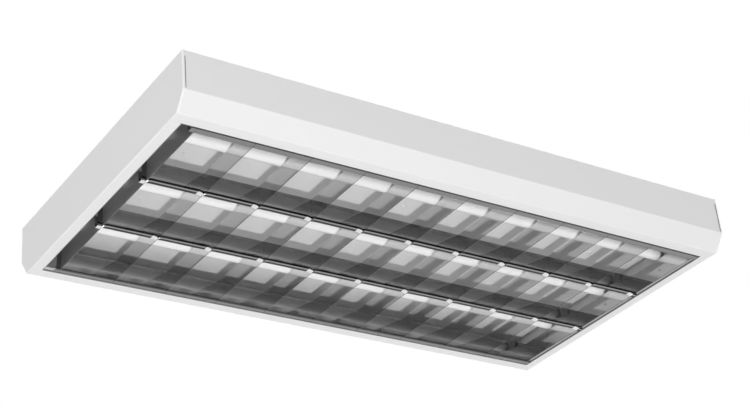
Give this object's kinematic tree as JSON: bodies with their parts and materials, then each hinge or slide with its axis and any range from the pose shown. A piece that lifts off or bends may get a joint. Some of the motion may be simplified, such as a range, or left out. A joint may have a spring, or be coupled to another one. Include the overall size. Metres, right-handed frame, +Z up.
{
  "type": "surface mounted fluorescent ceiling light",
  "caption": "Shallow white sheet-metal ceiling light with chamfered long sides and a hinged bright aluminium louvre of open cells under long fluorescent tubes.",
  "frame": {"origin": "centre of the top face, which meets the ceiling", "axes": "+X along the tubes, +Z up into the ceiling, +Y towards the side that the louvre is hinged on"},
  "size_m": [1.25, 0.698, 0.115],
  "materials": {
    "housing_paint": "satin white powder coat",
    "tray_paint": "bright white enamel on coil coated sheet",
    "reflector_aluminium": "bright rolled and anodised",
    "blade_aluminium": "bright rolled and anodised",
    "zinc_steel": "zinc plated",
    "spring_steel": "bright spring strip",
    "ballast_steel": "dipped dark varnish over laminated steel",
    "capacitor_can": "drawn can",
    "terminal_brass": "bare brass",
    "grommet_rubber": "moulded black rubber",
    "lamp_glass": "glass coated white inside",
    "lamp_cap_metal": "pressed bright cap",
    "rotor_plastic": "moulded white",
    "holder_plastic": "moulded white",
    "starter_plastic": "moulded white can"
  },
  "bodies": {
    "light_body": {"housing": "housing_paint", "end_cap_left": "housing_paint", "end_cap_right": "housing_paint", "cable_grommet": "grommet_rubber", "gear_tray": "tray_paint", "gear_pillars": "zinc_steel", "gear_screws": "zinc_steel", "ballast_screws": "zinc_steel", "capacitor": "capacitor_can", "capacitor_clip": "zinc_steel", "terminal_block": "holder_plastic", "terminal_screws": "terminal_brass", "louvre_springs": "spring_steel", "ballast_1": "ballast_steel", "ballast_2": "ballast_steel", "ballast_3": "ballast_steel", "lampholder_left_1": "holder_plastic", "lampholder_left_2": "holder_plastic", "lampholder_left_3": "holder_plastic", "lampholder_right_1": "holder_plastic", "lampholder_right_2": "holder_plastic", "lampholder_right_3": "holder_plastic", "starter_socket_1": "holder_plastic", "starter_socket_2": "holder_plastic", "starter_socket_3": "holder_plastic"},
    "louvre": {"side_reflector_near": "reflector_aluminium", "side_reflector_far": "reflector_aluminium", "hinge_block_left": "zinc_steel", "hinge_block_right": "zinc_steel", "hinge_pin_left": "zinc_steel", "hinge_pin_right": "zinc_steel", "centre_reflector_1": "reflector_aluminium", "centre_reflector_2": "reflector_aluminium", "cross_blade_1": "blade_aluminium", "cross_blade_2": "blade_aluminium", "cross_blade_3": "blade_aluminium", "cross_blade_4": "blade_aluminium", "cross_blade_5": "blade_aluminium", "cross_blade_6": "blade_aluminium", "cross_blade_7": "blade_aluminium", "cross_blade_8": "blade_aluminium", "cross_blade_9": "blade_aluminium", "cross_blade_10": "blade_aluminium", "cross_blade_11": "blade_aluminium"},
    "lamp_1": {"tube_glass_1": "lamp_glass", "tube_caps_1": "lamp_cap_metal", "rotors_1": "rotor_plastic"},
    "lamp_2": {"tube_glass_2": "lamp_glass", "tube_caps_2": "lamp_cap_metal", "rotors_2": "rotor_plastic"},
    "lamp_3": {"tube_glass_3": "lamp_glass", "tube_caps_3": "lamp_cap_metal", "rotors_3": "rotor_plastic"},
    "starter_body_1": {"starter_1": "starter_plastic"},
    "starter_body_2": {"starter_2": "starter_plastic"},
    "starter_body_3": {"starter_3": "starter_plastic"}
  },
  "joints": [
    {"name": "louvre_hinge", "type": "hinge", "parent": "light_body", "child": "louvre", "pos_m": [0, 0.288, -0.111], "axis": [1, 0, 0], "range_deg": [0, 90]},
    {"name": "lamp_1_twist", "type": "hinge", "parent": "light_body", "child": "lamp_1", "pos_m": [0, -0.18533, -0.059], "axis": [1, 0, 0], "range_deg": [0, 90]},
    {"name": "lamp_2_twist", "type": "hinge", "parent": "light_body", "child": "lamp_2", "pos_m": [0, 0, -0.059], "axis": [1, 0, 0], "range_deg": [0, 90]},
    {"name": "lamp_3_twist", "type": "hinge", "parent": "light_body", "child": "lamp_3", "pos_m": [0, 0.18533, -0.059], "axis": [1, 0, 0], "range_deg": [0, 90]},
    {"name": "starter_1_twist", "type": "hinge", "parent": "light_body", "child": "starter_body_1", "pos_m": [-0.571, -0.139, -0.031], "axis": [0, 0, -1], "range_deg": [0, 45]},
    {"name": "starter_2_twist", "type": "hinge", "parent": "light_body", "child": "starter_body_2", "pos_m": [-0.571, 0.04633, -0.031], "axis": [0, 0, -1], "range_deg": [0, 45]},
    {"name": "starter_3_twist", "type": "hinge", "parent": "light_body", "child": "starter_body_3", "pos_m": [-0.571, 0.23167, -0.031], "axis": [0, 0, -1], "range_deg": [0, 45]}
  ]
}
